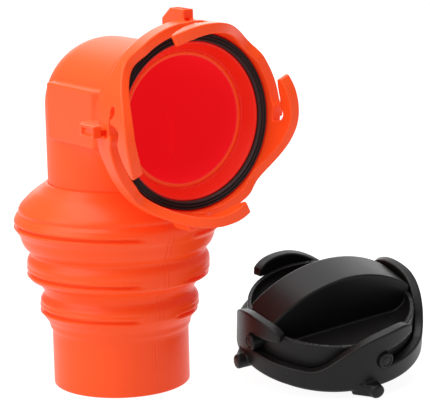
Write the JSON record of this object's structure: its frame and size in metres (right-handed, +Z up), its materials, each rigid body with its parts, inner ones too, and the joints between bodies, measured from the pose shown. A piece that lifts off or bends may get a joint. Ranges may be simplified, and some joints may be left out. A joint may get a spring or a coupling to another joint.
{
  "type": "sewer hose elbow kit",
  "caption": "Swivelling bayonet elbow with a stepped hose adapter, and a pair of bayonet caps locked together beside it.",
  "frame": {"origin": "centre of the spigot's lower end, on the ground that the kit stands on", "axes": "+Z up along the spigot and the adapter; the mouth and its bayonet collar look along -Y; the caps lie to the +X side"},
  "size_m": [0.2136, 0.1783, 0.2135],
  "materials": {
    "elbow_plastic": "glossy moulded orange-red",
    "adapter_plastic": "glossy moulded orange-red",
    "sleeve_plastic": "glossy moulded red",
    "collar_plastic": "glossy moulded orange-red",
    "gasket_rubber": "soft black rubber",
    "cap_plastic": "satin moulded black"
  },
  "bodies": {
    "elbow": {"elbow_body": "elbow_plastic", "hose_adapter": "adapter_plastic", "mouth_sleeve": "sleeve_plastic", "mouth_gasket": "gasket_rubber"},
    "collar": {"bayonet_collar": "collar_plastic"},
    "lower_cap": {"bayonet_cap": "cap_plastic", "cap_gasket": "gasket_rubber"},
    "upper_cap": {"lug_cap": "cap_plastic"}
  },
  "joints": [
    {"name": "collar_swivel", "type": "hinge", "parent": "elbow", "child": "collar", "pos_m": [0, -0.069, 0.156], "axis": [0, -1, 0], "continuous": true},
    {"name": "cap_set_lift", "type": "slide", "parent": "elbow", "child": "lower_cap", "axis": [0, 0, 1], "range_m": [0, 0.028]},
    {"name": "lug_cap_twist", "type": "hinge", "parent": "lower_cap", "child": "upper_cap", "pos_m": [0.0985, -0.063, 0.01998], "axis": [-0.1401, -0.2613, 0.955], "range_deg": [0, 37]}
  ]
}
